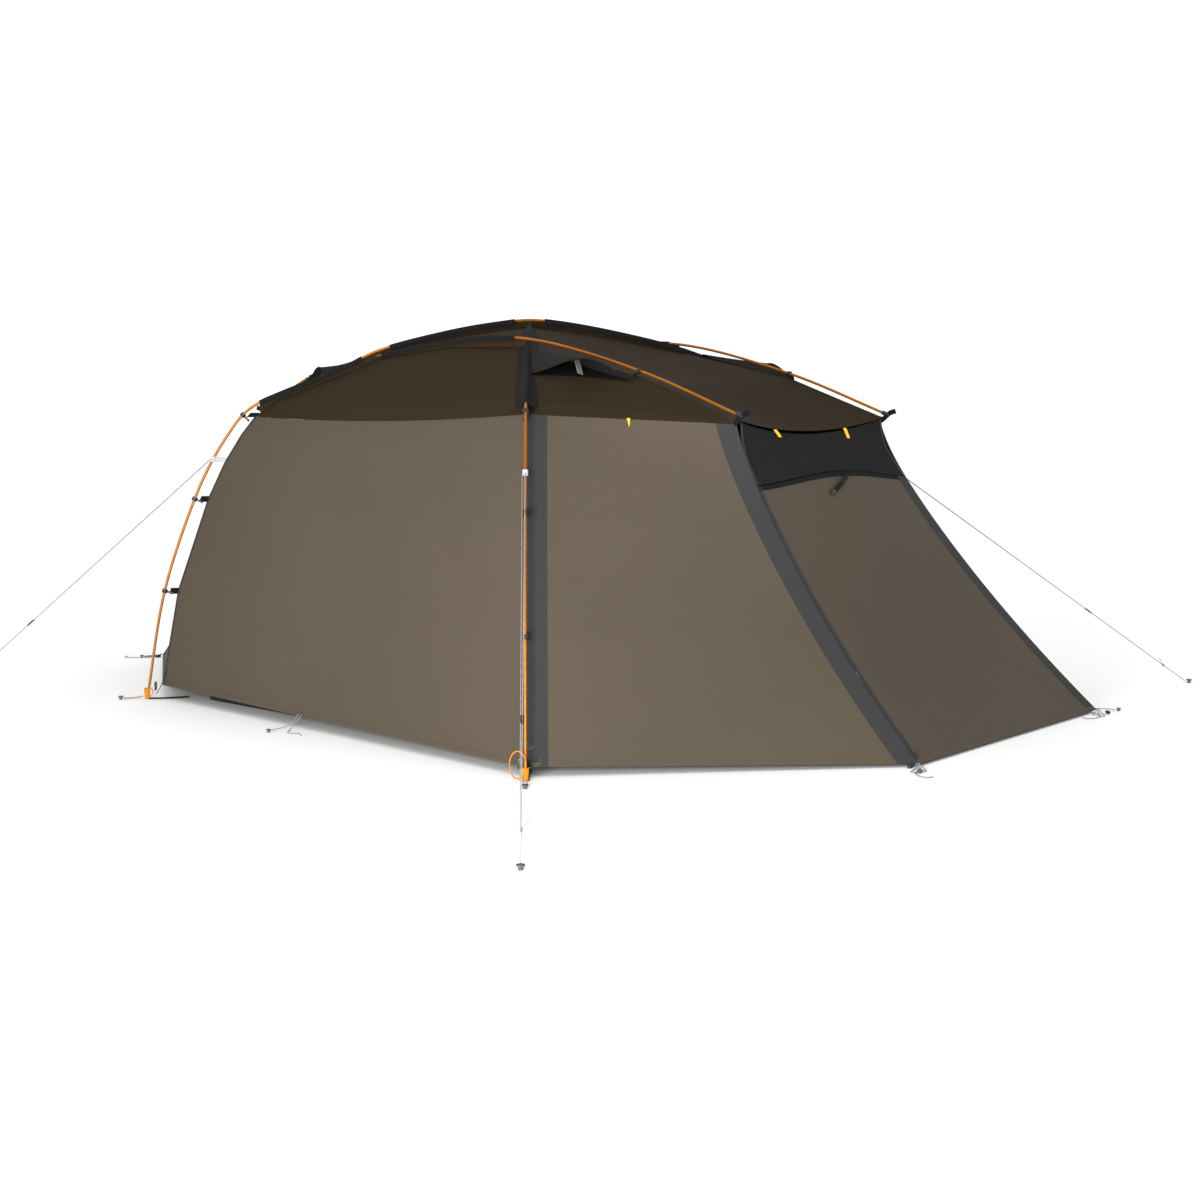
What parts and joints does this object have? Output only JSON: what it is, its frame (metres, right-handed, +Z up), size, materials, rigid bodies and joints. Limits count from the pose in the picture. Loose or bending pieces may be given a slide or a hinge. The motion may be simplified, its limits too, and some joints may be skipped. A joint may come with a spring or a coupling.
{
  "type": "dome tent with two vestibules",
  "caption": "Free-standing dome tent: orange crossed poles, brown flysheet with canopies, two slanted vestibule doors, roof vents, guylines and a hung inner tent.",
  "frame": {"origin": "centre of the groundsheet's underside, on the ground", "axes": "+X towards the front door, +Y towards the far side, +Z up"},
  "size_m": [3.606, 3.6877, 1.3925],
  "materials": {
    "pole_alloy": "anodised orange tube, satin",
    "pole_sleeve": "dark grey woven sleeve",
    "orange_webbing": "woven orange webbing",
    "black_plastic": "moulded black nylon",
    "wall_cloth": "coated ripstop, warm grey brown",
    "roof_cloth": "coated ripstop, darker brown",
    "vent_mesh": "fine black mesh cloth",
    "band_cloth": "dark grey coated cloth",
    "strut_webbing": "stiff beige webbing",
    "groundsheet_cloth": "heavy coated groundsheet",
    "inner_cloth": "light breathable inner cloth",
    "guy_cord": "pale reflective cord",
    "stake_alloy": "dark anodised stake head"
  },
  "bodies": {
    "frame": {"canopy_front": "roof_cloth", "canopy_rear": "roof_cloth", "diagonal_pole_a": "pole_alloy", "diagonal_pole_b": "pole_alloy", "door_vent_front": "vent_mesh", "door_vent_rear": "vent_mesh", "fly_roof_far": "roof_cloth", "fly_roof_near": "roof_cloth", "fly_roof_top": "roof_cloth", "fly_shoulder_front_far": "roof_cloth", "fly_shoulder_front_near": "roof_cloth", "fly_shoulder_rear_far": "roof_cloth", "fly_shoulder_rear_near": "roof_cloth", "fly_wall_far": "wall_cloth", "fly_wall_near": "wall_cloth", "foot_strap_front_far": "orange_webbing", "foot_strap_front_near": "orange_webbing", "foot_strap_rear_far": "orange_webbing", "foot_strap_rear_near": "orange_webbing", "groundsheet": "groundsheet_cloth", "guyline_front_far": "guy_cord", "guyline_front_near": "guy_cord", "guyline_rear_far": "guy_cord", "guyline_rear_near": "guy_cord", "inner_cabin": "inner_cloth", "leg_clip_front_far_1": "black_plastic", "leg_clip_front_far_2": "black_plastic", "leg_clip_front_near_1": "black_plastic", "leg_clip_front_near_2": "black_plastic", "leg_clip_rear_far_1": "black_plastic", "leg_clip_rear_far_2": "black_plastic", "leg_clip_rear_near_1": "black_plastic", "leg_clip_rear_near_2": "black_plastic", "porch_wall_front_far": "wall_cloth", "porch_wall_front_near": "wall_cloth", "porch_wall_rear_far": "wall_cloth", "porch_wall_rear_near": "wall_cloth", "roof_pole_far": "pole_alloy", "roof_pole_near": "pole_alloy", "sleeve_a_1": "pole_sleeve", "sleeve_a_2": "pole_sleeve", "sleeve_a_3": "pole_sleeve", "sleeve_b_1": "pole_sleeve", "stake_head_front_far": "stake_alloy", "stake_head_front_near": "stake_alloy", "stake_head_rear_far": "stake_alloy", "stake_head_rear_near": "stake_alloy", "vent_hood_front_far": "band_cloth", "vent_hood_front_near": "band_cloth", "vent_hood_rear_far": "band_cloth", "vent_hood_rear_near": "band_cloth"},
    "door_front": {"door_front": "wall_cloth"},
    "door_rear": {"door_rear": "wall_cloth"},
    "inner_door_front": {"inner_door_front": "inner_cloth"},
    "inner_door_rear": {"inner_door_rear": "inner_cloth"},
    "vent_strut_front_far": {"vent_strut_front_far": "strut_webbing"},
    "vent_strut_front_near": {"vent_strut_front_near": "strut_webbing"},
    "vent_strut_rear_far": {"vent_strut_rear_far": "strut_webbing"},
    "vent_strut_rear_near": {"vent_strut_rear_near": "strut_webbing"},
    "zip_slider": {"zip_slider": "black_plastic"}
  },
  "joints": [
    {"name": "front_door_swing", "type": "hinge", "parent": "frame", "child": "door_front", "pos_m": [1.25657, 0, 0.83136], "axis": [0, -1, 0], "range_deg": [0, 95]},
    {"name": "rear_door_swing", "type": "hinge", "parent": "frame", "child": "door_rear", "pos_m": [-1.1604, 0, 0.83136], "axis": [0, 1, 0], "range_deg": [0, 95]},
    {"name": "inner_front_door_swing", "type": "hinge", "parent": "frame", "child": "inner_door_front", "pos_m": [0.6885, 0, 0.758], "axis": [0, -1, 0], "range_deg": [0, 60]},
    {"name": "inner_rear_door_swing", "type": "hinge", "parent": "frame", "child": "inner_door_rear", "pos_m": [-0.6885, 0, 0.758], "axis": [0, 1, 0], "range_deg": [0, 60]},
    {"name": "vent_strut_front_near_fold", "type": "hinge", "parent": "frame", "child": "vent_strut_front_near", "pos_m": [0.6233, -0.4948, 1.2253], "axis": [0, -1, 0], "range_deg": [0, 50]},
    {"name": "vent_strut_front_far_fold", "type": "hinge", "parent": "frame", "child": "vent_strut_front_far", "pos_m": [0.6233, 0.4948, 1.2253], "axis": [0, -1, 0], "range_deg": [0, 50]},
    {"name": "vent_strut_rear_near_fold", "type": "hinge", "parent": "frame", "child": "vent_strut_rear_near", "pos_m": [-0.6397, -0.4746, 1.2092], "axis": [0, 1, 0], "range_deg": [0, 50]},
    {"name": "vent_strut_rear_far_fold", "type": "hinge", "parent": "frame", "child": "vent_strut_rear_far", "pos_m": [-0.6397, 0.4746, 1.2092], "axis": [0, 1, 0], "range_deg": [0, 50]},
    {"name": "zip_run", "type": "slide", "parent": "frame", "child": "zip_slider", "axis": [-0.5923, -0.1283, 0.7955], "range_m": [0, 0.3]}
  ]
}
